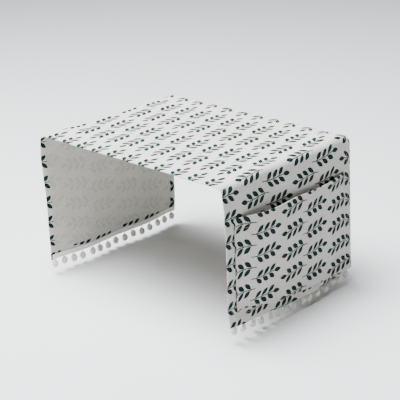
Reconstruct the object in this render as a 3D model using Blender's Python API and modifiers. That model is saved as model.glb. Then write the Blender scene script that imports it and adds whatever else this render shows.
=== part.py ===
"""Microwave cover: a printed cotton strip that lies over the top of a countertop oven and hangs down both of
its sides, with a patch pocket on each side and a row of yarn pompoms under each hem.

Metres, +Z up. The origin is the middle of the top panel's flat underside, where the cover is carried. +X runs
along the strip, from the left drop to the right drop, and the open front faces -Y.
"""

import math

import bmesh
import bpy
import numpy as np

MM = 0.001

# The strip
CLOTH = 2.0 * MM  # thickness of the doubled-up canvas with its hems
HALF_WIDTH = 228.5 * MM  # middle of the top to the plane that both drops are measured from
HALF_DEPTH = 172.5 * MM  # middle of the top to its front or back edge
DEPTH_TAPER = 0.005  # the strip lies a little wider at its right end
SHOULDER = 14.0 * MM  # outer radius where the top turns down

# How far each drop stands outside its plane, in millimetres.
# Columns: drop below the top, then at the front edge, at the fore and aft thirds, and at the back edge.
DRAPE_STATIONS = (-1.0, -0.35, 0.35, 1.0)
DRAPE = {
    "right": (
        (14, -4.0, -11.0, -11.0, -7.0),
        (35, -1.0, -5.0, -5.0, -6.2),
        (60, 0.5, -2.5, -3.0, -5.6),
        (117, 2.2, -0.5, -1.0, -4.0),
        (182, 2.5, 0.5, 1.0, -2.0),
        (230, 3.0, 1.0, 2.5, -1.0),
        (260, 7.5, 5.0, 7.5, 0.5),
    ),
    "left": (
        (14, 10.5, 6.5, 6.5, 8.0),
        (36, 13.0, 8.0, 8.5, 9.0),
        (77, 10.5, 7.0, 8.0, 8.0),
        (117, 7.0, 6.0, 7.0, 6.5),
        (182, 6.0, 5.5, 6.5, 5.5),
        (230, 5.5, 6.0, 6.0, 5.5),
        (260, 6.0, 10.0, 8.5, 8.0),
    ),
}

# Height of the hem below the top. Columns: place across the depth, right hem, left hem, in millimetres.
HEM = (
    (-172, 249.5, 254.5),
    (-125, 256.0, 258.0),
    (-57, 259.0, 260.0),
    (29, 260.3, 259.5),
    (105, 259.8, 258.0),
    (172, 256.5, 255.5),
)

# Soft folds that run up from the hem, in millimetres.
# Columns: drop, place across the depth, half width, how far it stands out at the hem, how far up it reaches.
FOLDS = (
    ("right", -155, 13, 3.0, 60),
    ("right", -98, 22, -2.6, 95),
    ("right", -28, 24, 1.8, 80),
    ("right", 52, 26, 2.2, 110),
    ("right", 112, 20, -2.4, 85),
    ("left", -140, 18, 2.4, 70),
    ("left", -70, 26, -2.8, 100),
    ("left", 6, 24, 2.6, 85),
    ("left", 84, 22, -2.2, 110),
    ("left", 146, 16, 2.6, 70),
)

# Low swells of the top panel, where the stiff cloth rises before it turns down, in millimetres.
# Columns: place along the strip, place across the depth, radius, height.
SWELLS = (
    (198, 140, 34, 3.6),
    (200, -60, 30, 1.6),
    (-204, -120, 34, 2.6),
    (-200, 90, 36, 1.8),
    (-90, 168, 32, 1.4),
)

# The patch pockets
POCKET_CLOTH = 1.6 * MM
SEWN_GAP = 0.5 * MM  # between the pocket's seams and the cloth that they are sewn to
POCKET_HALF = 153.0 * MM  # middle to side seam

# The pocket's mouth and bottom seam. Columns: place across the depth, mouth, bottom seam, in millimetres.
POCKET_EDGES = (
    (-153, 58.5, 225.5),
    (-112, 60.5, 231.5),
    (-60, 63.5, 243.0),
    (0, 63.0, 247.0),
    (60, 65.5, 249.0),
    (112, 64.5, 252.0),
    (153, 61.5, 253.0),
)

# How far the pocket stands away from the drop, in millimetres.
# Columns: share of the way from mouth to bottom seam, then at seven even places between the side seams.
POCKET_BULGE = {
    "right": (
        (0.00, 0, 10.5, 12.0, 9.5, 7.5, 6.0, 0),
        (0.12, 0, 9.5, 11.0, 9.0, 7.0, 5.5, 0),
        (0.40, 0, 8.0, 9.5, 8.5, 6.5, 4.5, 0),
        (0.70, 0, 5.0, 6.0, 6.0, 4.5, 3.0, 0),
        (0.90, 0, 1.8, 2.2, 2.2, 1.8, 1.2, 0),
        (1.00, 0, 0.0, 0.0, 0.0, 0.0, 0.0, 0),
    ),
    "left": (
        (0.00, 0, 8.5, 11.0, 12.5, 11.5, 8.5, 0),
        (0.12, 0, 8.5, 11.0, 12.5, 11.5, 8.0, 0),
        (0.40, 0, 7.5, 10.5, 11.5, 10.5, 7.0, 0),
        (0.70, 0, 5.0, 7.0, 8.0, 7.5, 5.0, 0),
        (0.90, 0, 1.8, 2.6, 3.0, 2.6, 1.8, 0),
        (1.00, 0, 0.0, 0.0, 0.0, 0.0, 0.0, 0),
    ),
}

# The pompom trim
TAPE = 1.0 * MM  # thickness
TAPE_HALF = 169.0 * MM  # middle to end
TAPE_TOP = 11.0 * MM  # its top edge above the hem
TAPE_FOOT = 1.5 * MM  # its bottom edge above the hem
POMPOM_RADIUS = 6.0 * MM
POMPOM_TALL = 1.27  # height over width
LINK = 1.6 * MM  # width of the yarn link that holds a pompom
TAPE_GAP = 0.9 * MM  # between the tape and the cloth, filled by the hem's fold

# The pompoms, front to back. Columns: place across the depth, how far the ball's middle hangs below the hem.
POMPOMS = {
    "right": (
        (-162, 8.6),
        (-137, 8.4),
        (-109, 8.4),
        (-87, 10.0),
        (-65, 8.6),
        (-46, 9.4),
        (-26, 9.9),
        (-5, 9.9),
        (24, 9.9),
        (39, 8.4),
        (62, 8.4),
        (90, 11.0),
        (117, 8.4),
        (134, 10.0),
        (157, 9.2),
    ),
    "left": (
        (-164, 8.6),
        (-137, 8.4),
        (-114, 9.8),
        (-92, 10.6),
        (-66, 9.0),
        (-45, 10.2),
        (-22, 11.5),
        (1, 9.4),
        (25, 10.8),
        (47, 9.0),
        (70, 11.2),
        (92, 9.6),
        (117, 8.6),
        (139, 10.0),
        (160, 8.8),
    ),
}

SIDES = {"right": 1.0, "left": -1.0}


def through(stations, rows, at):
    """Smooth curve through rows of values given at stations, read at the places in at.

    Between two stations it is the cubic with the mean slopes of its neighbours, and it starts level.
    """
    x = np.asarray(stations, float)
    y = np.asarray(rows, float)
    slope = np.gradient(y, x, axis=0)
    slope[0] = 0.0
    at = np.clip(np.asarray(at, float), x[0], x[-1])
    i = np.clip(np.searchsorted(x, at, side="right") - 1, 0, len(x) - 2)
    width = x[i + 1] - x[i]
    t = (at - x[i]) / width
    h00, h10 = (1 + 2 * t) * (1 - t) ** 2, t * (1 - t) ** 2
    h01, h11 = t * t * (3 - 2 * t), t * t * (t - 1)
    extra = (1,) * (y.ndim - 1)
    parts = [v.reshape(v.shape + extra) for v in (h00, h10 * width, h01, h11 * width)]
    return parts[0] * y[i] + parts[1] * slope[i] + parts[2] * y[i + 1] + parts[3] * slope[i + 1]


def across(stations, columns, at):
    """Weights of the one polynomial through all the stations, applied to the last axis of columns."""
    x = np.asarray(stations, float)
    at = np.asarray(at, float)
    total = 0.0
    for k, xk in enumerate(x):
        others = np.delete(x, k)
        weight = np.prod((at[..., None] - others) / (xk - others), axis=-1)
        total = total + weight * columns[..., k]
    return total


def ease(t):
    """0 below 0, 1 above 1, and a smooth step between."""
    t = np.clip(t, 0.0, 1.0)
    return t * t * (3.0 - 2.0 * t)


def hem_drop(side, y):
    """Depth of the hem below the top at a place across the depth."""
    column = 1 if side == "right" else 2
    table = np.asarray(HEM, float) * MM
    return through(table[:, 0], table[:, column], y)


def half_depth(x):
    """Middle to front or back edge at a place along the strip."""
    return HALF_DEPTH + DEPTH_TAPER * x


def wall_out(side, drop, y):
    """Distance of a drop's outer face from the middle plane: its plane, its drape and its soft folds."""
    drop, y = np.broadcast_arrays(np.asarray(drop, float), np.asarray(y, float))
    table = np.asarray(DRAPE[side], float) * MM
    rows = through(table[:, 0], table[:, 1:], drop)
    out = HALF_WIDTH + across(DRAPE_STATIONS, rows, y / HALF_DEPTH)
    above = hem_drop(side, y) - drop
    for where, place, half, height, reach in FOLDS:
        if where == side:
            ridge = np.exp(-(((y - place * MM) / (half * MM)) ** 2))
            out = out + height * MM * ridge * ease(1.0 - above / (reach * MM))
    return out


def top_height(x, y):
    """Outer face of the top panel: flat, with a few low swells near its edges."""
    height = np.full(np.broadcast(x, y).shape, CLOTH)
    for along, place, radius, rise in SWELLS:
        far = ((x - along * MM) ** 2 + (y - place * MM) ** 2) / (radius * MM) ** 2
        height = height + rise * MM * ease(1.0 - far)
    return height


def strip_surface(top_steps, shoulder_steps, drop_steps, depth_steps):
    """Outer face of the whole strip, as a grid from the left hem to the right hem.

    A station is (kind, side, share). The top runs level between the two shoulders, each shoulder is a
    quarter circle, and each drop runs down to its hem.
    """
    places = np.linspace(-1.0, 1.0, depth_steps + 1)
    rows = []
    for side, sign in SIDES.items():
        half = half_depth(sign * HALF_WIDTH)
        y = places * half
        start = wall_out(side, SHOULDER, y) - SHOULDER
        part = []
        for k in range(1, shoulder_steps + 1):
            turn = 0.5 * math.pi * k / shoulder_steps
            x = start + SHOULDER * math.sin(turn)
            level = top_height(sign * start, y) - SHOULDER * (1.0 - math.cos(turn))
            part.append(np.stack([sign * x, y, level], axis=-1))
        lift = top_height(sign * start, y) - CLOTH
        for k in range(1, drop_steps + 1):
            drop = SHOULDER + (hem_drop(side, y) - SHOULDER) * k / drop_steps
            fade = lift * (1.0 - ease((drop - SHOULDER) / (60.0 * MM)))
            part.append(np.stack([sign * wall_out(side, drop, y), y, CLOTH - drop + fade], axis=-1))
        rows.append(part)
    right, left = rows
    ends = [wall_out(side, SHOULDER, places * HALF_DEPTH) - SHOULDER for side in SIDES]
    middle = []
    for k in range(top_steps + 1):
        share = k / top_steps
        x = -ends[1] * (1.0 - share) + ends[0] * share
        y = places * (half_depth(-HALF_WIDTH) * (1.0 - share) + half_depth(HALF_WIDTH) * share)
        middle.append(np.stack([x, y, top_height(x, y)], axis=-1))
    return np.array(left[::-1] + middle + right)


def pocket_surface(side, wide_steps, tall_steps):
    """Outer face of a pocket, as a grid from its front seam to its back seam and from mouth to bottom."""
    y = np.linspace(-POCKET_HALF, POCKET_HALF, wide_steps + 1)[None, :]
    share = np.linspace(0.0, 1.0, tall_steps + 1)[:, None]
    edges = np.asarray(POCKET_EDGES, float) * MM
    mouth, foot = through(edges[:, 0], edges[:, 1:], y[0]).T
    drop = mouth + share * (foot - mouth)
    table = np.asarray(POCKET_BULGE[side], float)
    rows = through(table[:, 0], table[:, 1:] * MM, share[:, 0])
    seams = np.linspace(-POCKET_HALF, POCKET_HALF, table.shape[1] - 1)
    bulge = np.maximum(through(seams, rows.T, y[0]).T, 0.0)
    out = wall_out(side, drop, y) + SEWN_GAP + POCKET_CLOTH + bulge
    y = np.broadcast_to(y, out.shape)
    return np.stack([SIDES[side] * out, y, CLOTH - drop], axis=-1)


def tape_surface(side, long_steps):
    """Outer face of the pompom tape, just inside the hem."""
    y = np.linspace(-TAPE_HALF, TAPE_HALF, long_steps + 1)
    rows = []
    for above in (TAPE_TOP, TAPE_FOOT):
        drop = hem_drop(side, y) - above
        x = wall_out(side, drop, y) - CLOTH - TAPE_GAP
        rows.append(np.stack([SIDES[side] * x, y, CLOTH - drop], axis=-1))
    return np.array(rows)


def grid_mesh(name, grid, outward):
    """A mesh of quads on a grid of points, turned so that the middle quad faces along outward."""
    rows, columns = grid.shape[:2]
    bm = bmesh.new()
    verts = [bm.verts.new(point) for point in grid.reshape(-1, 3)]
    for r in range(rows - 1):
        for c in range(columns - 1):
            a = r * columns + c
            bm.faces.new((verts[a], verts[a + 1], verts[a + columns + 1], verts[a + columns]))
    bm.normal_update()
    bm.faces.ensure_lookup_table()
    middle = bm.faces[len(bm.faces) // 2]
    if middle.normal.dot(outward) < 0.0:
        bmesh.ops.reverse_faces(bm, faces=bm.faces)
    mesh = bpy.data.meshes.new(name)
    bm.to_mesh(mesh)
    bm.free()
    return mesh


def material(name, colour, roughness):
    """A plain Principled material."""
    made = bpy.data.materials.new(name)
    made.use_nodes = True
    shader = made.node_tree.nodes["Principled BSDF"]
    shader.inputs["Base Color"].default_value = (*colour, 1.0)
    shader.inputs["Roughness"].default_value = roughness
    shader.inputs["Metallic"].default_value = 0.0
    return made


def sheet(name, mesh, thickness, finish, collection):
    """A piece of cloth: an open surface given its thickness on the inner side."""
    obj = bpy.data.objects.new(name, mesh)
    collection.objects.link(obj)
    mesh.materials.append(finish)
    mesh.shade_smooth()
    solid = obj.modifiers.new("cloth thickness", "SOLIDIFY")
    solid.thickness = thickness
    solid.offset = -1.0
    solid.use_even_offset = True
    return obj


def yarn_ball(name, centre, seed):
    """A small lumpy yarn ball, a little taller than wide, as a mesh object."""
    bm = bmesh.new()
    bmesh.ops.create_icosphere(bm, subdivisions=2, radius=POMPOM_RADIUS)
    lumps = np.random.default_rng(seed).uniform(0.93, 1.05, len(bm.verts))
    for vert, lump in zip(bm.verts, lumps):
        vert.co = vert.co * lump
        vert.co.z *= POMPOM_TALL
    bmesh.ops.translate(bm, vec=centre, verts=bm.verts)
    mesh = bpy.data.meshes.new(name)
    bm.to_mesh(mesh)
    bm.free()
    return bpy.data.objects.new(name, mesh)


def link_bar(name, top, foot):
    """A square yarn link between two points, one above the other."""
    bm = bmesh.new()
    bmesh.ops.create_cube(bm, size=1.0)
    middle = [(a + b) / 2.0 for a, b in zip(top, foot)]
    for vert in bm.verts:
        end = top if vert.co.z > 0.0 else foot
        vert.co.x = end[0] + vert.co.x * LINK
        vert.co.y = end[1] + vert.co.y * LINK
        vert.co.z = middle[2] + vert.co.z * (top[2] - foot[2])
    mesh = bpy.data.meshes.new(name)
    bm.to_mesh(mesh)
    bm.free()
    return bpy.data.objects.new(name, mesh)


def joined(base, others):
    """The base object with the others united to it, as one mesh."""
    collection = base.users_collection[0]
    for other in others:
        collection.objects.link(other)
        union = base.modifiers.new("union", "BOOLEAN")
        union.operation = "UNION"
        union.object = other
    bpy.context.view_layer.update()
    graph = bpy.context.evaluated_depsgraph_get()
    mesh = bpy.data.meshes.new_from_object(base.evaluated_get(graph))
    base.modifiers.clear()
    base.data = mesh
    for other in others:
        bpy.data.objects.remove(other)
    return base


def pompom_trim(side, finish, collection):
    """The tape behind a hem with its pompoms, joined by short yarn links."""
    name = f"pompom_trim_{side}"
    sign = SIDES[side]
    tape = sheet(name, grid_mesh(name, tape_surface(side, 36), (sign, 0.0, 0.0)), TAPE, finish, collection)
    pieces = []
    for k, (place, hang) in enumerate(POMPOMS[side]):
        y = place * MM
        drop = float(hem_drop(side, y))
        x = sign * (float(wall_out(side, drop - TAPE_FOOT, y)) - CLOTH - TAPE_GAP - TAPE / 2.0)
        ball = (x, y, CLOTH - drop - hang * MM)
        top = (x, y, CLOTH - drop + 2.0 * TAPE_FOOT)
        pieces.append(yarn_ball(f"ball {side} {k}", ball, 10 * k + len(side)))
        pieces.append(link_bar(f"link {side} {k}", top, ball))
    return joined(tape, pieces)


def main():
    for obj in list(bpy.data.objects):
        bpy.data.objects.remove(obj)
    collection = bpy.data.collections.new("microwave cover")
    bpy.context.scene.collection.children.link(collection)
    print_cloth = material("printed canvas", (0.62, 0.60, 0.56), 0.9)
    yarn = material("pompom yarn", (0.80, 0.77, 0.72), 0.95)

    strip = grid_mesh("cover_cloth", strip_surface(12, 5, 15, 36), (0.0, 0.0, 1.0))
    sheet("cover_cloth", strip, CLOTH, print_cloth, collection)
    for side, sign in SIDES.items():
        name = f"pocket_{side}"
        panel = grid_mesh(name, pocket_surface(side, 24, 12), (sign, 0.0, 0.0))
        sheet(name, panel, POCKET_CLOTH, print_cloth, collection)
        pompom_trim(side, yarn, collection)


main()
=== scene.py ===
# %% [markdown]
# # A printed canvas cover with pockets and pompoms
#
# The cover is one long strip of cotton-linen canvas that lies flat on top and hangs down on two sides. A wide
# patch pocket is sewn on each drop, and a braid with yarn pompoms is sewn behind each of the two end hems.
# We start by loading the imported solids, which fix every size and place.

# %% Load the frame
import math

import bpy
import numpy as np
from mathutils import Matrix, Vector


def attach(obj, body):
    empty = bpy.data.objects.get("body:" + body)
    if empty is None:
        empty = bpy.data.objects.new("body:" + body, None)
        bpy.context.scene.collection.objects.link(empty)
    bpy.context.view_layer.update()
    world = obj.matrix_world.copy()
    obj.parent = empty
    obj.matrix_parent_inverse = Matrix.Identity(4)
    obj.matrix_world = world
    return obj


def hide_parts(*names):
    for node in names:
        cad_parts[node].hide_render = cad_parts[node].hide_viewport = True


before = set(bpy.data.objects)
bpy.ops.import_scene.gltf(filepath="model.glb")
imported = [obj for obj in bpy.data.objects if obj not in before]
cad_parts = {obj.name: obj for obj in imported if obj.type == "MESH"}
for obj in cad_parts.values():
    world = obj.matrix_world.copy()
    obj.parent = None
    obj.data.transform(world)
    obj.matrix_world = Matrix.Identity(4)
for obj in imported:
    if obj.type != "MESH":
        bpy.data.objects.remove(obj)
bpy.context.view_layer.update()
MM = 0.001
print("solids:", sorted(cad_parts))

# %% [markdown]
# ## Sizes and drape
#
# The strip's shape is a handful of short tables, the same ones that shape the solids: how far each drop stands
# away from its plane, how deep the hem hangs, where soft folds run up from the hem, and where the stiff cloth
# swells on the top. Tables are easier to tune than a simulation, and they keep the cloth on its solid.

# %% Tables of the strip
CLOTH = 2.0 * MM
HALF_WIDTH = 228.5 * MM
HALF_DEPTH = 172.5 * MM
DEPTH_TAPER = 0.005
SHOULDER = 14.0 * MM
SIDES = {"right": 1.0, "left": -1.0}

# Columns: drop below the top, then how far the cloth stands out at four places from front to back.
DRAPE_STATIONS = (-1.0, -0.35, 0.35, 1.0)
DRAPE = {
    "right": (
        (14, -4.0, -11.0, -11.0, -7.0),
        (35, -1.0, -5.0, -5.0, -6.2),
        (60, 0.5, -2.5, -3.0, -5.6),
        (117, 2.2, -0.5, -1.0, -4.0),
        (182, 2.5, 0.5, 1.0, -2.0),
        (230, 3.0, 1.0, 2.5, -1.0),
        (260, 7.5, 5.0, 7.5, 0.5),
    ),
    "left": (
        (14, 10.5, 6.5, 6.5, 8.0),
        (36, 13.0, 8.0, 8.5, 9.0),
        (77, 10.5, 7.0, 8.0, 8.0),
        (117, 7.0, 6.0, 7.0, 6.5),
        (182, 6.0, 5.5, 6.5, 5.5),
        (230, 5.5, 6.0, 6.0, 5.5),
        (260, 6.0, 10.0, 8.5, 8.0),
    ),
}
# Columns: place across the depth, then the depth of the right hem and of the left hem.
HEM = (
    (-172, 249.5, 254.5),
    (-125, 256.0, 258.0),
    (-57, 259.0, 260.0),
    (29, 260.3, 259.5),
    (105, 259.8, 258.0),
    (172, 256.5, 255.5),
)
# Columns: drop, place across the depth, half width, how far it stands out at the hem, how far up it reaches.
FOLDS = (
    ("right", -155, 13, 3.0, 60),
    ("right", -98, 22, -2.6, 95),
    ("right", -28, 24, 1.8, 80),
    ("right", 52, 26, 2.2, 110),
    ("right", 112, 20, -2.4, 85),
    ("left", -140, 18, 2.4, 70),
    ("left", -70, 26, -2.8, 100),
    ("left", 6, 24, 2.6, 85),
    ("left", 84, 22, -2.2, 110),
    ("left", 146, 16, 2.6, 70),
)
# Columns: place along the strip, place across the depth, radius, height.
SWELLS = (
    (198, 140, 34, 3.6),
    (200, -60, 30, 1.6),
    (-204, -120, 34, 2.6),
    (-200, 90, 36, 1.8),
    (-90, 168, 32, 1.4),
)

# %% Tables of the pockets
POCKET_CLOTH = 1.6 * MM
SEWN_GAP = 0.5 * MM
POCKET_HALF = 153.0 * MM
# Columns: place across the depth, mouth, bottom seam.
POCKET_EDGES = (
    (-153, 58.5, 225.5),
    (-112, 60.5, 231.5),
    (-60, 63.5, 243.0),
    (0, 63.0, 247.0),
    (60, 65.5, 249.0),
    (112, 64.5, 252.0),
    (153, 61.5, 253.0),
)
# Columns: share of the way down, then how far the pocket stands away at seven places from front to back.
POCKET_BULGE = {
    "right": (
        (0.00, 0, 10.5, 12.0, 9.5, 7.5, 6.0, 0),
        (0.12, 0, 9.5, 11.0, 9.0, 7.0, 5.5, 0),
        (0.40, 0, 8.0, 9.5, 8.5, 6.5, 4.5, 0),
        (0.70, 0, 5.0, 6.0, 6.0, 4.5, 3.0, 0),
        (0.90, 0, 1.8, 2.2, 2.2, 1.8, 1.2, 0),
        (1.00, 0, 0.0, 0.0, 0.0, 0.0, 0.0, 0),
    ),
    "left": (
        (0.00, 0, 8.5, 11.0, 12.5, 11.5, 8.5, 0),
        (0.12, 0, 8.5, 11.0, 12.5, 11.5, 8.0, 0),
        (0.40, 0, 7.5, 10.5, 11.5, 10.5, 7.0, 0),
        (0.70, 0, 5.0, 7.0, 8.0, 7.5, 5.0, 0),
        (0.90, 0, 1.8, 2.6, 3.0, 2.6, 1.8, 0),
        (1.00, 0, 0.0, 0.0, 0.0, 0.0, 0.0, 0),
    ),
}

# Columns: place across the depth, how much lower the pocket's print was sewn there, how much nearer the front.
POCKET_PRINT = (
    (-153, -4.4, 4.6),
    (-110, -0.5, 3.4),
    (-50, 2.0, 2.0),
    (0, 1.0, 1.6),
    (60, 0.0, 1.6),
    (85, -1.0, 2.2),
    (104, -3.5, 2.6),
    (153, -5.0, 2.8),
)

# %% Tables of the trim
TAPE = 1.0 * MM
TAPE_HALF = 169.0 * MM
TAPE_TOP = 11.0 * MM
TAPE_FOOT = 1.5 * MM
TAPE_GAP = 0.9 * MM
POMPOM_RADIUS = 6.0 * MM
POMPOM_TALL = 1.27
# Columns: place across the depth, how far the ball's middle hangs below the hem.
POMPOMS = {
    "right": (
        (-162, 8.6),
        (-137, 8.4),
        (-109, 8.4),
        (-87, 10.0),
        (-65, 8.6),
        (-46, 9.4),
        (-26, 9.9),
        (-5, 9.9),
        (24, 9.9),
        (39, 8.4),
        (62, 8.4),
        (90, 11.0),
        (117, 8.4),
        (134, 10.0),
        (157, 9.2),
    ),
    "left": (
        (-164, 8.6),
        (-137, 8.4),
        (-114, 9.8),
        (-92, 10.6),
        (-66, 9.0),
        (-45, 10.2),
        (-22, 11.5),
        (1, 9.4),
        (25, 10.8),
        (47, 9.0),
        (70, 11.2),
        (92, 9.6),
        (117, 8.6),
        (139, 10.0),
        (160, 8.8),
    ),
}

# %% [markdown]
# ## Reading the tables
#
# Two small curve readers do all the work. One is a smooth cubic through rows of numbers, for how things change
# down a drop. The other is the single polynomial through four stations, for how they change across the cloth.


# %% Curve readers
def through(stations, rows, at):
    """Cubic through rows at stations: each span blends its end values and its neighbours' mean slopes."""
    x, y = np.asarray(stations, float), np.asarray(rows, float)
    slope = np.gradient(y, x, axis=0)
    slope[0] = 0.0
    at = np.clip(np.asarray(at, float), x[0], x[-1])
    i = np.clip(np.searchsorted(x, at, side="right") - 1, 0, len(x) - 2)
    width = x[i + 1] - x[i]
    t = (at - x[i]) / width
    weights = ((1 + 2 * t) * (1 - t) ** 2, t * (1 - t) ** 2 * width, t * t * (3 - 2 * t), t * t * (t - 1) * width)
    h = [w.reshape(w.shape + (1,) * (y.ndim - 1)) for w in weights]
    return h[0] * y[i] + h[1] * slope[i] + h[2] * y[i + 1] + h[3] * slope[i + 1]


def across(stations, columns, at):
    """Lagrange's polynomial: each column times the product of (at - other) / (own - other)."""
    x, at = np.asarray(stations, float), np.asarray(at, float)
    total = 0.0
    for k, own in enumerate(x):
        others = np.delete(x, k)
        total = total + np.prod((at[..., None] - others) / (own - others), axis=-1) * columns[..., k]
    return total


def ease(t):
    """Smooth step: 3t^2 - 2t^3 between 0 and 1, level outside."""
    t = np.clip(t, 0.0, 1.0)
    return t * t * (3.0 - 2.0 * t)


# %% The strip's shape in numbers
def hem_drop(side, y):
    """Depth of the hem below the top."""
    table = np.asarray(HEM, float) * MM
    return through(table[:, 0], table[:, 1 if side == "right" else 2], y)


def half_depth(x):
    """Middle to front or back edge at a place along the strip."""
    return HALF_DEPTH + DEPTH_TAPER * x


def wall_out(side, drop, y):
    """Distance of a drop's outer face from the middle plane: its plane, plus its drape, plus its folds."""
    drop, y = np.broadcast_arrays(np.asarray(drop, float), np.asarray(y, float))
    table = np.asarray(DRAPE[side], float) * MM
    out = HALF_WIDTH + across(DRAPE_STATIONS, through(table[:, 0], table[:, 1:], drop), y / HALF_DEPTH)
    above = hem_drop(side, y) - drop
    for where, place, half, height, reach in FOLDS:
        if where == side:
            ridge = np.exp(-(((y - place * MM) / (half * MM)) ** 2))
            out = out + height * MM * ridge * ease(1.0 - above / (reach * MM))
    return out


def top_height(x, y):
    """Outer face of the top: level, plus low domes that follow a smooth step of their distance."""
    height = np.full(np.broadcast(x, y).shape, CLOTH)
    for along, place, radius, rise in SWELLS:
        far = ((x - along * MM) ** 2 + (y - place * MM) ** 2) / (radius * MM) ** 2
        height = height + rise * MM * ease(1.0 - far)
    return height


print("hem depth at the middle:", round(float(hem_drop("right", 0.0)) / MM, 1), "mm")


# %% [markdown]
# ## Grids that know where their hems are
#
# Real hems are a fold of two or three layers, so they are a little thicker, stand a little proud and dip where
# the thread pulls them in. For this the grid is closer near its edges: the stations there mark the fold, the
# stitch line and the step down to the single cloth.


# %% Stations with closer steps at the edges
def stations(low, high, marks, step):
    """Places from low to high: the marks, in metres from each end, and even steps of about the given size."""
    marks = np.asarray(marks)
    inner_low, inner_high = low + marks[-1], high - marks[-1]
    count = max(2, int(round((inner_high - inner_low) / step)))
    inner = np.linspace(inner_low, inner_high, count + 1)
    return np.concatenate([low + marks[:-1], inner, (high - marks[:-1])[::-1]])


EDGE_MARKS = np.array([0.0, 0.5, 1.4, 3.0, 5.5, 8.0, 9.8, 10.6, 11.2, 12.2, 13.6, 16.0]) * MM
END_MARKS = np.array([0.0, 0.5, 1.4, 3.0, 6.0, 10.0, 14.0, 16.8, 17.8, 18.6, 19.8, 22.0]) * MM
DROP_LENGTH = 0.258 - SHOULDER  # from the shoulder to the hem, about
print("edge marks:", len(EDGE_MARKS), "end marks:", len(END_MARKS))


# %% The strip's grid
def strip_grid():
    """Outer face of the strip, from the left hem to the right hem, and the cloth's own coordinates.

    Top: level line between the shoulders. Shoulder: quarter circle. Drop: straight down the drape tables.
    The cloth's own coordinates are the length along the strip from its middle, and the place across it.
    """
    places = stations(-1.0, 1.0, EDGE_MARKS / HALF_DEPTH, 4.0 * MM / HALF_DEPTH)
    tops, drops = {}, {}
    for side, sign in SIDES.items():
        y = places * half_depth(sign * HALF_WIDTH)
        start = wall_out(side, SHOULDER, y) - SHOULDER
        rise = top_height(sign * start, y)
        turn = np.linspace(0.0, 0.5 * math.pi, 9)[1:, None]
        arc = np.stack(
            [
                sign * (start + SHOULDER * np.sin(turn)),
                np.broadcast_to(y, (8, len(y))),
                rise - SHOULDER * (1.0 - np.cos(turn)),
            ],
            axis=-1,
        )
        hem = hem_drop(side, y)
        shares = stations(0.0, 1.0, END_MARKS / DROP_LENGTH, 4.0 * MM / DROP_LENGTH)
        share = shares[len(END_MARKS):, None]  # the close steps are only needed at the hem
        drop = SHOULDER + (hem - SHOULDER) * share
        fade = (rise - CLOTH) * (1.0 - ease((drop - SHOULDER) / (60.0 * MM)))
        wall = np.stack(
            [sign * wall_out(side, drop, y), np.broadcast_to(y, drop.shape), CLOTH - drop + fade], axis=-1
        )
        tops[side] = start
        drops[side] = np.concatenate([arc, wall])
    share = np.linspace(0.0, 1.0, 105)[:, None]
    x = -tops["left"] * (1.0 - share) + tops["right"] * share
    y = places * (half_depth(-HALF_WIDTH) * (1.0 - share) + half_depth(HALF_WIDTH) * share)
    top = np.stack([x, y, top_height(x, y)], axis=-1)
    grid = np.concatenate([drops["left"][::-1], top, drops["right"]])
    steps = np.linalg.norm(np.diff(grid, axis=0), axis=-1)
    along = np.concatenate([np.zeros((1, grid.shape[1])), np.cumsum(steps, axis=0)])
    middle = len(drops["left"]) + 52
    along = along - along[middle] + grid[middle, :, 0]
    return grid, along, np.broadcast_to(grid[..., 1], along.shape)


strip, strip_along, strip_across = strip_grid()
print("strip grid:", strip.shape[:2], "length", round(float(np.ptp(strip_along[:, 60])) / MM), "mm")


# %% [markdown]
# ## From a grid to cloth
#
# A grid becomes cloth in three steps. Small relief moves it along its own normals: hem folds, the dip of each
# stitch line, puckers that the thread gathers, and slow waves of a canvas that was folded in a packet. Then the
# back is the same grid moved in by the local thickness. Then one ring of faces closes the rim. The face and the
# back get their own materials, because the print doesn't go through the cloth.


# %% Normals and slow waves
def normals(grid, outward):
    """Cross product of the two central differences, turned to face along outward."""
    down, over = np.gradient(grid, axis=0), np.gradient(grid, axis=1)
    n = np.cross(down, over)
    n /= np.maximum(np.linalg.norm(n, axis=-1, keepdims=True), 1e-12)
    middle = n[n.shape[0] // 2, n.shape[1] // 2]
    return n if np.dot(middle, outward) > 0 else -n


def waves(u, v, seed, count=14, longest=0.11, shortest=0.022):
    """Sum of sines in random directions; a wave's height falls with its length. About 1 at most."""
    rng = np.random.default_rng(seed)
    total = np.zeros_like(u)
    for length in np.geomspace(longest, shortest, count):
        turn, phase = rng.uniform(0, math.pi), rng.uniform(0, 2 * math.pi)
        total += length / longest * np.sin(2 * math.pi * (u * math.cos(turn) + v * math.sin(turn)) / length + phase)
    return total / 3.0


def bump_at(distance, place, half):
    """Bell curve of the distance from a line."""
    return np.exp(-(((distance - place) / half) ** 2))


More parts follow.
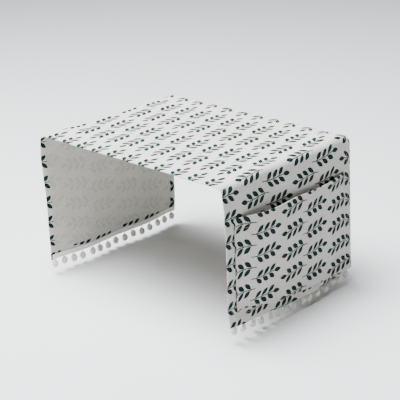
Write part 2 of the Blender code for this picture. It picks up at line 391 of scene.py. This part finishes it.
# %% Closing a grid into a piece of cloth
def cloth_piece(name, grid, outward, relief, thickness, maps, folded, materials):
    """A closed sheet: outer face = grid + relief along the normal, back = outer face - thickness.

    maps gives the UV maps as name to a (u, v) pair of arrays. folded marks the points that lie on a turned-in
    hem, where the back shows the printed face again.
    """
    n = normals(grid, outward)
    face = grid + n * relief[..., None]
    back = face - n * thickness[..., None]
    rows, cols = grid.shape[:2]
    index = np.arange(rows * cols).reshape(rows, cols)
    a, b, c, d = index[:-1, :-1], index[:-1, 1:], index[1:, 1:], index[1:, :-1]
    quads = np.stack([a, b, c, d], axis=-1).reshape(-1, 4)
    ring = np.concatenate([index[0, :-1], index[:-1, -1], index[-1, :0:-1], index[:0:-1, 0]])
    after = np.roll(ring, -1)
    step_down, step_over = face[1, 0] - face[0, 0], face[0, 1] - face[0, 0]
    flip = np.dot(np.cross(step_over, step_down), n[0, 0]) < 0
    shift = rows * cols
    rim = np.stack([ring, ring + shift, after + shift, after], axis=-1)
    faces = np.concatenate([quads, quads[:, ::-1] + shift, rim])
    if flip:
        faces = faces[:, ::-1]
    mesh = bpy.data.meshes.new(name)
    mesh.from_pydata(np.concatenate([face.reshape(-1, 3), back.reshape(-1, 3)]).tolist(), [], faces.tolist())
    for key, (u, v) in maps.items():
        both = np.tile(np.stack([u.ravel(), v.ravel()], axis=-1), (2, 1))
        corners = both[faces.ravel()].astype(np.float32)
        mesh.uv_layers.new(name=key).data.foreach_set("uv", corners.ravel())
    turned = folded.ravel()[quads].all(axis=1)
    slots = np.concatenate([np.zeros(len(quads)), np.where(turned, 0, 1), np.zeros(len(rim))]).astype(np.int32)
    for made in materials:
        mesh.materials.append(made)
    mesh.polygons.foreach_set("material_index", slots)
    mesh.shade_smooth()
    mesh.validate()
    mesh.update()
    piece = bpy.data.objects.new(name, mesh)
    bpy.context.scene.collection.objects.link(piece)
    print(name, len(faces), "faces")
    return piece


# %% [markdown]
# ## Shader maths as Python
#
# A printed repeat is many small sums, so the node tree is written as expressions. Flow wraps one socket and adds
# a Math node for each operator. Finish owns a material and makes any other node from its type, its settings and
# the values of its sockets.


# %% Flow and Finish
class Flow:
    """A number on its way through a material's nodes."""

    def __init__(self, finish, socket):
        self.finish, self.socket = finish, socket

    def math(self, operation, *others, clamp=False):
        return self.finish.add("ShaderNodeMath", {"operation": operation, "use_clamp": clamp}, (self, *others))

    def __add__(self, other):
        return self.math("ADD", other)

    def __sub__(self, other):
        return self.math("SUBTRACT", other)

    def __rsub__(self, other):
        return self.finish.add("ShaderNodeMath", {"operation": "SUBTRACT"}, (other, self))

    def __mul__(self, other):
        return self.math("MULTIPLY", other)

    def __truediv__(self, other):
        return self.math("DIVIDE", other)

    def size(self):
        return self.math("ABSOLUTE")

    def top(self, other):
        return self.math("MAXIMUM", other)

    def low(self, other):
        return self.math("MINIMUM", other)

    def sine(self):
        return self.math("SINE")

    def clamped(self):
        return self.math("ADD", 0.0, clamp=True)

    def wrapped(self, low, high):
        return self.math("WRAP", high, low)

    __radd__ = __add__
    __rmul__ = __mul__


class Finish:
    """A material with a Principled shader, and one method that adds any node."""

    def __init__(self, name, roughness=0.9, sheen=0.0, viewport=(0.7, 0.68, 0.64)):
        self.material = bpy.data.materials.new(name)
        self.material.use_nodes = True
        self.material.diffuse_color = (*viewport, 1.0)
        self.nodes = self.material.node_tree.nodes
        self.links = self.material.node_tree.links
        self.shader = self.nodes["Principled BSDF"]
        self.shader.inputs["Roughness"].default_value = roughness
        self.shader.inputs["Sheen Weight"].default_value = sheen
        self.shader.inputs["Sheen Roughness"].default_value = 0.5
        self.shader.inputs["Specular IOR Level"].default_value = 0.06

    def add(self, kind, settings=(), values=(), output=0):
        """Makes a node, sets its settings, then gives each socket its value or link."""
        node = self.nodes.new(kind)
        for key, value in dict(settings).items():
            setattr(node, key, value)
        pairs = values.items() if isinstance(values, dict) else enumerate(values)
        for key, value in pairs:
            if isinstance(value, Flow):
                self.links.new(value.socket, node.inputs[key])
            else:
                node.inputs[key].default_value = value
        return Flow(self, node.outputs[output])

    def feed(self, name, flow):
        self.links.new(flow.socket, self.shader.inputs[name])

    def uv(self, name):
        """The two numbers of a UV map, in metres on the cloth, and both as one vector."""
        whole = self.add("ShaderNodeUVMap", {"uv_map": name})
        u = self.add("ShaderNodeSeparateXYZ", {}, {0: whole})
        v = Flow(self, u.socket.node.outputs[1])
        return u, v, whole

    def mix(self, factor, one, other):
        """Colour mix from one to other."""
        return self.add(
            "ShaderNodeMix", {"data_type": "RGBA"}, {"Factor": factor, 6: one, 7: other}, output=2
        )

    def noise(self, vector, scale, detail=2.0, rough=0.5):
        return self.add(
            "ShaderNodeTexNoise", {}, {"Vector": vector, "Scale": scale, "Detail": detail, "Roughness": rough}
        )


def shade(red, green, blue):
    """A colour given as screen values from 0 to 255, made linear."""
    v = np.array([red, green, blue]) / 255.0
    linear = np.where(v <= 0.04045, v / 12.92, ((v + 0.055) / 1.055) ** 2.4)
    return (*linear.tolist(), 1.0)


# %% [markdown]
# ## The sprig print
#
# The repeat holds two sprigs that point opposite ways, half a row apart. A sprig is a stem, a tip leaf and three
# pairs of side leaves. Each leaf is a lens: its half width is greatest in the middle and falls with the square of
# the distance along it. Because the pairs are alike, one leaf is worked out and folded over with a rounded
# division, so the whole print is a few dozen nodes. All lengths are in millimetres on the cloth.

# %% Measures of the repeat
ROW = 39.7
COLUMN = 134.5
PAIR_PITCH = 15.5
FIRST_PAIR = 14.0
LEAF_TILT = math.radians(37)
LEAF = (9.2, 4.15)  # half length and half width of a side leaf
TIP = (8.6, 4.2)
LEAF_MIDDLE = 7.0  # from the stem to the middle of a side leaf
STAGGER = 0.7  # how far the leaves of a pair are out of step
STALK = 0.55  # half width
STEM = 0.85  # half width
STEM_START, STEM_END = 4.0, 64.5  # behind the middle of the tip leaf
BEND, BEND_LENGTH = 1.1, 70.0  # the stem's gentle S
INK_WOBBLE = 0.9  # how far the weave shifts the ink's edge
THREAD_PITCH = 0.85 * MM
INK = shade(12, 28, 26)
INK_LIGHT = shade(34, 66, 64)
CANVAS = shade(213, 212, 208)
CANVAS_DARK = shade(176, 171, 161)
CANVAS_BACK = shade(208, 205, 198)


# %% One sprig
def lens(along, over, half_length, half_width):
    """How far inside a leaf a point is: w (1 - (a / l)^2) (1 + 0.12 a / l) - |o|, a little fuller beyond its middle."""
    ratio = along / half_length
    return (1.0 - ratio * ratio) * (1.0 + ratio * 0.12) * half_width - over.size()


def sprig(behind, aside):
    """How far inside a sprig's ink a point is, in mm, and how far inside a leaf."""
    bend = (behind * (2 * math.pi / BEND_LENGTH) + 0.6).sine() * BEND
    aside = aside - bend
    tip = lens(behind, aside, *TIP)
    count = ((behind - FIRST_PAIR) / PAIR_PITCH).math("ROUND").top(0.0).low(2.0)
    local = behind - FIRST_PAIR - count * PAIR_PITCH + aside.math("SIGN") * STAGGER
    out = aside.size() - LEAF_MIDDLE
    along = out * math.sin(LEAF_TILT) - local * math.cos(LEAF_TILT)
    over = local * math.sin(LEAF_TILT) + out * math.cos(LEAF_TILT)
    leaf = lens(along, over, *LEAF)
    stalk = (STALK - over.size()).low(11.2 - along.size()).low(2.0 - along)
    stem = (STEM - aside.size()).low(behind - STEM_START).low(STEM_END - behind)
    leaves = tip.top(leaf)
    return leaves.top(stalk).top(stem), leaves


def printed_canvas(name, face=True):
    """Cotton-linen canvas, with the sprigs in ink on its face and only their ghost on its back."""
    paint = Finish(name, roughness=0.92)
    rows, places, flat = paint.uv("print")
    wobble = paint.noise(flat, 900.0, 1.0)
    x = rows * 1000.0 + (wobble - 0.5) * INK_WOBBLE
    y = places * 1000.0 + (paint.noise(flat, 1300.0, 1.0) - 0.5) * INK_WOBBLE
    toward_front = sprig((y + 121.0).wrapped(-12.0, COLUMN - 12.0), (x - 13.0).wrapped(-ROW / 2, ROW / 2))
    toward_back = sprig((-138.0 - y).wrapped(-12.0, COLUMN - 12.0), (-7.0 - x).wrapped(-ROW / 2, ROW / 2))
    inside = toward_front[0].top(toward_back[0])
    leaf = toward_front[1].top(toward_back[1])
    ink = (inside * 3.2 + 0.5).clamped()

    u, v, cloth = paint.uv("cloth")
    lengthwise = paint.add("ShaderNodeVectorMath", {"operation": "MULTIPLY"}, (cloth, (1.0, 14.0, 1.0)))
    crosswise = paint.add("ShaderNodeVectorMath", {"operation": "MULTIPLY"}, (cloth, (14.0, 1.0, 1.0)))
    slub_one = paint.noise(lengthwise, 95.0, 3.0, 0.6)
    slub_two = paint.noise(crosswise, 95.0, 3.0, 0.6)
    slub = (slub_one + slub_two) * 0.5
    pitch = math.pi / THREAD_PITCH
    weave = (u * pitch).sine().size() * (v * pitch).sine().size()
    cloud = paint.noise(cloth, 14.0, 2.0)
    fleck = paint.noise(cloth, 420.0, 2.0)
    tone = ((slub - 0.5) * 2.4 + (weave - 0.4) * 0.5 + (cloud - 0.5) * 0.5 + (fleck - 0.5) * 2.3 + 0.5).clamped()
    if face:
        ground = paint.mix(tone, CANVAS_DARK, CANVAS)
        light = ((leaf - 1.6) * 0.6).clamped() * (0.15 + slub * 0.5)
        dye = paint.mix(light, INK, INK_LIGHT)
        cover = ink * ((slub - 0.5) * 0.3 + 1.03).clamped()
        colour = paint.mix(cover, ground, dye)
    else:
        ground = paint.mix(tone, CANVAS_DARK, CANVAS_BACK)
        colour = paint.mix(ink * 0.16, ground, INK_LIGHT)
    paint.feed("Base Color", colour)
    height = weave * 0.5 + slub * 1.2
    paint.feed(
        "Normal",
        paint.add("ShaderNodeBump", {}, {"Strength": 0.35, "Distance": 0.0003, "Height": height}),
    )
    return paint.material


canvas = printed_canvas("printed canvas")
canvas_back = printed_canvas("canvas back", face=False)
print("print nodes:", len(canvas.node_tree.nodes))


# %% [markdown]
# ## The strip
#
# The print runs across the strip, so its rows count along the length. On the drops the repeat is a touch longer,
# because canvas gives a little where it hangs under its own weight and the trim's.

# %% Hems, puckers and waves of the strip
side_edge = np.minimum(strip_across - strip_across[:, :1], strip_across[:, -1:] - strip_across)
end_edge = np.minimum(strip_along - strip_along[:1], strip_along[-1:] - strip_along)
hem_side = ease((13.0 * MM - side_edge) / (1.6 * MM))
hem_end = ease((20.0 * MM - end_edge) / (1.6 * MM))
hem = np.maximum(hem_side, hem_end)
rim = 1.0 - ease(np.minimum(side_edge, end_edge) / (1.4 * MM))
stitch = np.maximum(bump_at(side_edge, 10.6 * MM, 0.8 * MM), bump_at(end_edge, 17.8 * MM, 0.8 * MM))
pucker = np.sin(strip_along * 2 * math.pi / 0.0135 + 3 * np.sin(strip_along * 41.0)) * bump_at(
    side_edge, 8 * MM, 6 * MM
)
pucker_end = np.sin(strip_across * 2 * math.pi / 0.0125 + 3 * np.sin(strip_across * 37.0)) * bump_at(
    end_edge, 15 * MM, 8 * MM
)
slow = waves(strip_along, strip_across, seed=5)
relief = (0.25 * hem - 0.45 * stitch - 0.55 * rim + 0.22 * pucker + 0.26 * pucker_end + 0.45 * slow) * MM
thickness = (1.0 + 0.9 * hem - 0.7 * rim - 0.35 * stitch) * MM

# %% The strip's print map
ROWS_ON_THE_CLOTH = np.array([-453.0, -435.0, -233.0, -191.5, 191.5, 233.0, 435.0, 453.0]) * MM
ROWS_IN_THE_PRINT = np.array([-449.7, -429.7, -231.2, -191.5, 191.5, 231.2, 429.7, 449.7]) * MM


def extended(at, places, values):
    """Straight lines through the pairs, carried on past the ends."""
    inner = np.interp(at, places, values)
    slope = (values[-1] - values[-2]) / (places[-1] - places[-2])
    return inner + (np.maximum(at - places[-1], 0.0) + np.minimum(at - places[0], 0.0)) * slope


strip_print = extended(strip_along, ROWS_ON_THE_CLOTH, ROWS_IN_THE_PRINT)
cover = cloth_piece(
    "cover_strip",
    strip,
    (0.0, 0.0, 1.0),
    relief,
    thickness,
    {"cloth": (strip_along, strip_across), "print": (strip_print, strip_across)},
    hem > 0.5,
    [canvas, canvas_back],
)
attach(cover, "root")
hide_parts("cover_cloth")


# %% [markdown]
# ## The pockets
#
# A pocket is a second panel of the same cloth, cut without matching the print, so its sprigs sit off the ones
# behind it. Its sides and its foot are folded under and stitched down, and its mouth is a wider hem that gapes.
# The panel was sewn on a little askew, which tips the sprigs near its seams.


# %% A pocket's grid
def pocket_grid(side):
    """Outer face of a pocket: the drop's face plus the stand-off table, from mouth to foot."""
    marks = np.array([0.0, 0.4, 1.0, 1.8, 2.6, 3.4, 4.6, 6.5, 9.0]) * MM
    mouth_marks = np.array([0.0, 0.5, 1.4, 3.5, 8.0, 13.0, 18.0, 20.4, 21.4, 22.2, 23.4, 26.0]) * MM
    y = stations(-POCKET_HALF, POCKET_HALF, marks, 4.0 * MM)[None, :]
    edges = np.asarray(POCKET_EDGES, float) * MM
    mouth, foot = through(edges[:, 0], edges[:, 1:], y[0]).T
    tall = float(np.mean(foot - mouth))
    low, high = mouth_marks / tall, 1.0 - marks[::-1] / tall
    share = np.concatenate([low[:-1], np.linspace(low[-1], high[0], 41), high[1:]])[:, None]
    drop = mouth + share * (foot - mouth)
    table = np.asarray(POCKET_BULGE[side], float)
    rows = through(table[:, 0], table[:, 1:] * MM, share[:, 0])
    seams = np.linspace(-POCKET_HALF, POCKET_HALF, table.shape[1] - 1)
    bulge = np.maximum(through(seams, rows.T, y[0]).T, 0.0)
    out = wall_out(side, drop, y) + SEWN_GAP + POCKET_CLOTH + bulge
    y = np.broadcast_to(y, out.shape)
    grid = np.stack([SIDES[side] * out, y, CLOTH - drop], axis=-1)
    steps = np.linalg.norm(np.diff(grid, axis=0), axis=-1)
    down = np.concatenate([np.zeros((1, grid.shape[1])), np.cumsum(steps, axis=0)])
    return grid, down + mouth, y, down


def pocket(side):
    """One pocket with its folded seams, its mouth hem, its puckers and its own print."""
    sign = SIDES[side]
    grid, down, place, from_mouth = pocket_grid(side)
    seam_edge = np.minimum(place + POCKET_HALF, POCKET_HALF - place)
    foot_edge = from_mouth[-1:] - from_mouth
    sewn = np.minimum(seam_edge, foot_edge)
    fold = np.maximum(ease((9.0 * MM - sewn) / (1.5 * MM)), ease((23.4 * MM - from_mouth) / (1.5 * MM)))
    rim = 1.0 - ease(np.minimum(sewn, from_mouth) / (1.2 * MM))
    stitch = np.maximum(bump_at(sewn, 2.6 * MM, 0.6 * MM), bump_at(from_mouth, 21.4 * MM, 0.8 * MM))
    run = np.where(seam_edge < foot_edge, down, place)
    pucker = np.sin(run * 2 * math.pi / 0.0115 + 2.5 * np.sin(run * 47.0)) * bump_at(sewn, 4.0 * MM, 5.0 * MM)
    gather = np.sin(place * 2 * math.pi / 0.0145 + 2.5 * np.sin(place * 39.0)) * bump_at(from_mouth, 19 * MM, 7 * MM)
    slow = waves(down, place, seed=11 if side == "right" else 23)
    calm = ease(sewn / (30.0 * MM))
    relief = (0.15 * fold - 0.4 * stitch - 0.45 * rim + 0.25 * pucker + 0.2 * gather + 0.5 * slow * calm) * MM
    thickness = (0.85 + 0.7 * fold - 0.6 * rim - 0.3 * stitch) * MM
    sewn_at = np.asarray(POCKET_PRINT, float) * MM
    lower, forward = through(sewn_at[:, 0], sewn_at[:, 1:], place[0]).T
    rows = (13.0 + ROW * ((down - lower) / MM - 75.5) / 41.4) * MM
    piece = cloth_piece(
        f"patch_pocket_{side}",
        grid,
        (sign, 0.0, 0.0),
        relief,
        thickness,
        {"cloth": (down * sign + 0.5, place), "print": (rows, place + forward - 88.0 * MM)},
        fold > 0.5,
        [canvas, canvas_back],
    )
    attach(piece, "root")
    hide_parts(f"pocket_{side}")
    return piece


pockets = {side: pocket(side) for side in SIDES}


# %% [markdown]
# ## Stitches
#
# Each seam is a row of short thread bars that sink into the cloth at their ends. A bar is a spindle of three
# rings with four points each, which is enough at this size, and one call lays a whole row on a line of points.


# %% A row of stitches
def resample(points, normal, pitch):
    """Middle, direction and normal of even steps along a line of points."""
    length = np.concatenate([[0.0], np.cumsum(np.linalg.norm(np.diff(points, axis=0), axis=1))])
    count = int(length[-1] / pitch)
    at = (np.arange(count) + 0.5) * pitch
    middle = np.stack([np.interp(at, length, points[:, k]) for k in range(3)], axis=1)
    ahead = np.stack([np.interp(at + pitch / 3, length, points[:, k]) for k in range(3)], axis=1)
    facing = np.stack([np.interp(at, length, normal[:, k]) for k in range(3)], axis=1)
    direction = ahead - middle
    direction /= np.linalg.norm(direction, axis=1, keepdims=True)
    facing /= np.linalg.norm(facing, axis=1, keepdims=True)
    return middle, direction, facing


def stitch_row(points, normal, pitch=3.1 * MM, length=2.3 * MM, radius=0.28 * MM):
    """Vertices and faces of the bars: rings at -1, 0 and 1 along the bar, thick in the middle, sunk at the ends."""
    middle, direction, facing = resample(points, normal, pitch)
    side = np.cross(direction, facing)
    turn = np.arange(4) * math.pi / 2
    rings = []
    for place, size, lift in ((-1.0, 0.45, -0.25), (0.0, 1.0, 0.25), (1.0, 0.45, -0.25)):
        centre = middle + direction * place * length / 2 + facing * lift * MM
        spoke = side[:, None] * np.cos(turn)[None, :, None] + facing[:, None] * np.sin(turn)[None, :, None]
        rings.append(centre[:, None] + spoke * radius * size)
    verts = np.stack(rings, axis=1).reshape(-1, 3)
    base = np.arange(len(middle))[:, None, None] * 12
    k = np.arange(4)
    j = (k + 1) % 4
    skin = np.concatenate([np.stack([k + r, k + r + 4, j + r + 4, j + r], axis=1) for r in (0, 4)])
    caps = np.array([[0, 1, 2, 3], [11, 10, 9, 8]])
    faces = (np.concatenate([skin, caps])[None] + base).reshape(-1, 4)
    return verts, faces


def plain_mesh(name, parts, material):
    """One object from several (vertices, faces) pairs, with its faces turned outwards."""
    verts, faces, count = [], [], 0
    for v, f in parts:
        verts.append(v)
        faces.extend((f + count).tolist())
        count += len(v)
    mesh = bpy.data.meshes.new(name)
    mesh.from_pydata(np.concatenate(verts).tolist(), [], faces)
    mesh.materials.append(material)
    mesh.shade_smooth()
    mesh.update()
    piece = bpy.data.objects.new(name, mesh)
    bpy.context.scene.collection.objects.link(piece)
    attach(piece, "root")
    print(name, len(faces), "faces")
    return piece


# %% Lines to sew along
def grid_line(piece, shape, rows, cols):
    """Points and normals of a cloth piece's outer face along a row or a column of its grid."""
    count = shape[0] * shape[1]
    flat = np.empty(len(piece.data.vertices) * 3)
    piece.data.vertices.foreach_get("co", flat)
    grid = flat.reshape(-1, 3)[:count].reshape(*shape, 3)
    outward = (0.0, 0.0, 1.0) if piece is cover else (SIDES[piece.name.rsplit("_", 1)[1]], 0.0, 0.0)
    n = normals(grid, outward)
    return grid[rows, cols], n[rows, cols]


thread = Finish("sewing thread", roughness=0.7)
place_on_thread = thread.add("ShaderNodeTexCoord", {}, (), output=3)
fuzz = thread.noise(place_on_thread, 2400.0, 2.0)
thread.feed("Base Color", thread.mix(fuzz, shade(196, 191, 180), shade(226, 222, 212)))
thread.feed("Normal", thread.add("ShaderNodeBump", {}, {"Strength": 0.4, "Distance": 0.0002, "Height": fuzz}))
shape = strip.shape[:2]
lines = [
    grid_line(cover, shape, slice(11, -11), 7),
    grid_line(cover, shape, slice(11, -11), -8),
    grid_line(cover, shape, 8, slice(7, -7)),
    grid_line(cover, shape, -9, slice(7, -7)),
]
for side, piece in pockets.items():
    pocket_shape = pocket_grid(side)[0].shape[:2]
    lines += [
        grid_line(piece, pocket_shape, slice(1, -4), 4),
        grid_line(piece, pocket_shape, slice(1, -4), -5),
        grid_line(piece, pocket_shape, -5, slice(4, -4)),
        grid_line(piece, pocket_shape, 8, slice(6, -6)),
    ]
stitches = plain_mesh("stitches", [stitch_row(*line) for line in lines], thread.material)


# %% [markdown]
# ## Pompoms
#
# A yarn pompom is a bundle of cut ends that all start at its middle. A lumpy core fills the inside, and a few
# hundred blunt tufts on an even spiral make the soft outline. They hang from a braid by short cords.


# %% Even directions and balls
def spiral(count):
    """Directions spread evenly over a sphere: equal steps in height, golden-angle steps round."""
    k = np.arange(count)
    z = 1.0 - (2.0 * k + 1.0) / count
    turn = k * math.pi * (3.0 - math.sqrt(5.0))
    flat = np.sqrt(1.0 - z * z)
    return np.stack([flat * np.cos(turn), flat * np.sin(turn), z], axis=1)


def core_ball(centre, radius, rng, rings=10, sides=14):
    """Lumpy ball, a little tall: a turned half circle with its radius shaken by up to 5 in a hundred."""
    polar = np.linspace(0.0, math.pi, rings + 1)[1:-1]
    turn = np.arange(sides) * 2 * math.pi / sides
    r = radius * (1.0 + rng.uniform(-0.05, 0.05, (rings - 1, sides)))
    x = r * np.sin(polar)[:, None] * np.cos(turn)
    y = r * np.sin(polar)[:, None] * np.sin(turn)
    z = r * np.cos(polar)[:, None] * np.ones(sides) * POMPOM_TALL
    body = np.stack([x, y, z], axis=-1).reshape(-1, 3)
    pole = radius * POMPOM_TALL
    verts = np.concatenate([body, [[0, 0, pole], [0, 0, -pole]]]) + centre
    a = np.arange((rings - 2) * sides)
    b = a // sides * sides + (a + 1) % sides
    quads = np.stack([a, a + sides, b + sides, b], axis=1)
    k = np.arange(sides)
    j = (k + 1) % sides
    north, south, last = len(body), len(body) + 1, (rings - 2) * sides
    top = np.stack([np.full(sides, north), k, j], axis=1)
    foot = np.stack([np.full(sides, south), last + j, last + k], axis=1)
    return verts, quads, top, foot


def tufts(centre, radius, rng, count=230):
    """Blunt three-sided tufts from 0.7 of the radius out to the radius, each a little longer or shorter."""
    out = spiral(count) + rng.normal(0.0, 0.05, (count, 3))
    out /= np.linalg.norm(out, axis=1, keepdims=True)
    helper = np.where(np.abs(out[:, 2:3]) < 0.9, [[0.0, 0.0, 1.0]], [[1.0, 0.0, 0.0]])
    side = np.cross(out, helper)
    side /= np.linalg.norm(side, axis=1, keepdims=True)
    other = np.cross(out, side)
    spin = rng.uniform(0, 2 * math.pi, count)
    turn = spin[:, None] + np.arange(3) * 2 * math.pi / 3
    spoke = side[:, None] * np.cos(turn)[..., None] + other[:, None] * np.sin(turn)[..., None]
    reach = radius * rng.uniform(0.93, 1.04, count)[:, None, None]
    lean = rng.normal(0.0, 0.05, (count, 1, 3)) * radius
    inner = out[:, None] * radius * 0.7 + spoke * 0.45 * MM
    outer = out[:, None] * reach + spoke * 0.62 * MM + lean
    verts = np.concatenate([inner, outer], axis=1).reshape(-1, 3) * (1.0, 1.0, POMPOM_TALL) + centre
    base = np.arange(count)[:, None, None] * 6
    skin = np.array([[0, 3, 4, 1], [1, 4, 5, 2], [2, 5, 3, 0]])
    cap = np.array([[3, 5, 4]])
    root = np.array([[0, 1, 2]])
    return verts, [(part[None] + base).reshape(-1, part.shape[1]) for part in (skin, cap, root)]


def yarn_cord(top, foot, radius, turns, steps=10, sides=8):
    """Short two-ply cord: a tube whose radius swells twice round its section, and that swell winds down it."""
    t = np.linspace(0.0, 1.0, steps + 1)[:, None]
    turn = np.arange(sides) * 2 * math.pi / sides
    r = radius * (0.82 + 0.18 * np.cos(2 * turn[None] + 2 * math.pi * turns * t))
    line = top + (foot - top) * t
    verts = np.stack(
        [line[:, :1] + r * np.cos(turn), line[:, 1:2] + r * np.sin(turn), np.broadcast_to(line[:, 2:3], r.shape)],
        axis=-1,
    ).reshape(-1, 3)
    a = np.arange(steps * sides)
    b = a // sides * sides + (a + 1) % sides
    skin = np.stack([a, a + sides, b + sides, b], axis=1)
    return verts, skin


# %% The yarn's finish
def yarn_finish():
    """Off-white cotton: pale, with darker flecks and patches at random, and a fine fibre bump."""
    yarn = Finish("pompom yarn", roughness=0.95, sheen=0.6)
    place = yarn.add("ShaderNodeTexCoord", {}, (), output=3)
    fleck = yarn.noise(place, 900.0, 2.0)
    patch = yarn.noise(place, 160.0, 1.0)
    tone = ((fleck - 0.5) * 1.4 + (patch - 0.5) * 0.8 + 0.55).clamped()
    yarn.feed("Base Color", yarn.mix(tone, shade(226, 222, 212), shade(250, 248, 243)))
    yarn.feed("Normal", yarn.add("ShaderNodeBump", {}, {"Strength": 0.5, "Distance": 0.0004, "Height": fleck}))
    return yarn.material


yarn = yarn_finish()


# %% Braid, cords and balls of one trim
def braid_grid(side):
    """Outer face of the braid behind the hem, in a few rows from its top edge to its foot."""
    y = np.linspace(-TAPE_HALF, TAPE_HALF, 150)
    above = np.array([TAPE_TOP, 9.2 * MM, 7.5 * MM, 5.0 * MM, 3.2 * MM, TAPE_FOOT])[:, None]
    drop = hem_drop(side, y) - above
    x = wall_out(side, drop, y) - CLOTH - TAPE_GAP
    return np.stack([SIDES[side] * x, np.broadcast_to(y, x.shape), CLOTH - drop], axis=-1)


def trim(side):
    """One trim as two pieces: the braid, which is a narrow sheet, and the balls on their cords."""
    sign = SIDES[side]
    grid = braid_grid(side)
    place = grid[..., 1]
    plait = 0.14 * np.sin(place * 2 * math.pi / 0.0046)
    braid = cloth_piece(
        f"braid_{side}",
        grid,
        (sign, 0.0, 0.0),
        plait * MM,
        np.full(place.shape, 0.9 * MM),
        {"cloth": (grid[..., 2], place)},
        np.ones(place.shape, bool),
        [yarn],
    )
    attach(braid, "root")
    parts = []
    for k, (where, hang) in enumerate(POMPOMS[side]):
        rng = np.random.default_rng(100 + 10 * k + len(side))
        y = where * MM
        drop = float(hem_drop(side, y))
        x = sign * (float(wall_out(side, drop - TAPE_FOOT, y)) - CLOTH - TAPE_GAP - TAPE / 2.0)
        ball = np.array([x, y, CLOTH - drop - hang * MM])
        verts, quads, north, south = core_ball(ball, POMPOM_RADIUS * 0.86, rng)
        parts += [(verts, quads), (verts, north), (verts, south)]
        verts, faces = tufts(ball, POMPOM_RADIUS, rng)
        parts += [(verts, f) for f in faces]
        parts.append(yarn_cord(np.array([x, y, CLOTH - drop + 3.0 * MM]), ball, 0.8 * MM, 2.5))
    balls = plain_mesh(f"pompoms_{side}", parts, yarn)
    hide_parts(f"pompom_trim_{side}")
    return braid, balls


trims = {side: trim(side) for side in SIDES}

# %% [markdown]

# %% [markdown]
# ## Floor, light and camera
#
# The strip is lit like a catalogue picture: a wide soft light above and a little to the left of the camera, so
# the top is bright and the right drop is in gentle shade, with a pale world that fills the rest.

# %% Floor
FLOOR_LEVEL = -0.284  # just under the lowest pompom
FLOOR_CORNERS = [(x, y, FLOOR_LEVEL) for x, y in ((-6, -6), (6, -6), (6, 6), (-6, 6))]
floor_mesh = bpy.data.meshes.new("floor")
floor_mesh.from_pydata(FLOOR_CORNERS, [], [(0, 1, 2, 3)])
floor = bpy.data.objects.new("floor", floor_mesh)
bpy.context.scene.collection.objects.link(floor)
floor_finish = Finish("pale floor", roughness=0.8)
floor_finish.shader.inputs["Base Color"].default_value = shade(224, 224, 224)
floor_mesh.materials.append(floor_finish.material)


# %% Lights
def soft_light(name, place, target, size, power, colour):
    """A square area light that faces its target."""
    lamp = bpy.data.lights.new(name, "AREA")
    lamp.size, lamp.energy, lamp.color = size, power, colour
    obj = bpy.data.objects.new(name, lamp)
    obj.location = place
    obj.rotation_mode = "QUATERNION"
    obj.rotation_quaternion = (Vector(target) - Vector(place)).to_track_quat("-Z", "Y")
    bpy.context.scene.collection.objects.link(obj)


soft_light("key", (-0.5, -0.6, 2.35), (0.0, 0.0, -0.1), 2.0, 410, (0.93, 0.97, 1.0))
soft_light("fill", (2.4, -1.6, 0.9), (0.1, 0.0, -0.1), 1.8, 2.5, (1.0, 0.97, 0.93))
world = bpy.data.worlds.new("pale room")
world.use_nodes = True
world.node_tree.nodes["Background"].inputs["Color"].default_value = (1.0, 0.975, 0.93, 1.0)
world.node_tree.nodes["Background"].inputs["Strength"].default_value = 0.07
bpy.context.scene.world = world

# %% Camera
CAMERA_PLACE = (1.5003, -1.5500, 0.7031)
CAMERA_AIM = (-0.6481, 0.6723, -0.3576)
CAMERA_ROLL = math.radians(-1.93)
FOCAL_PIXELS, FRAME_PIXELS, SENSOR = 1234.37, 400.0, 36.0
forward = Vector(CAMERA_AIM).normalized()
level = forward.cross(Vector((0.0, 0.0, 1.0))).normalized()
up = level.cross(forward)
right = level * math.cos(CAMERA_ROLL) + up * math.sin(CAMERA_ROLL)
up = right.cross(forward)
lens_data = bpy.data.cameras.new("camera")
lens_data.sensor_width = SENSOR
lens_data.lens = FOCAL_PIXELS * SENSOR / FRAME_PIXELS
camera = bpy.data.objects.new("camera", lens_data)
turned = Matrix((right, up, -forward)).transposed().to_4x4()
camera.matrix_world = Matrix.Translation(CAMERA_PLACE) @ turned
bpy.context.scene.collection.objects.link(camera)
bpy.context.scene.camera = camera
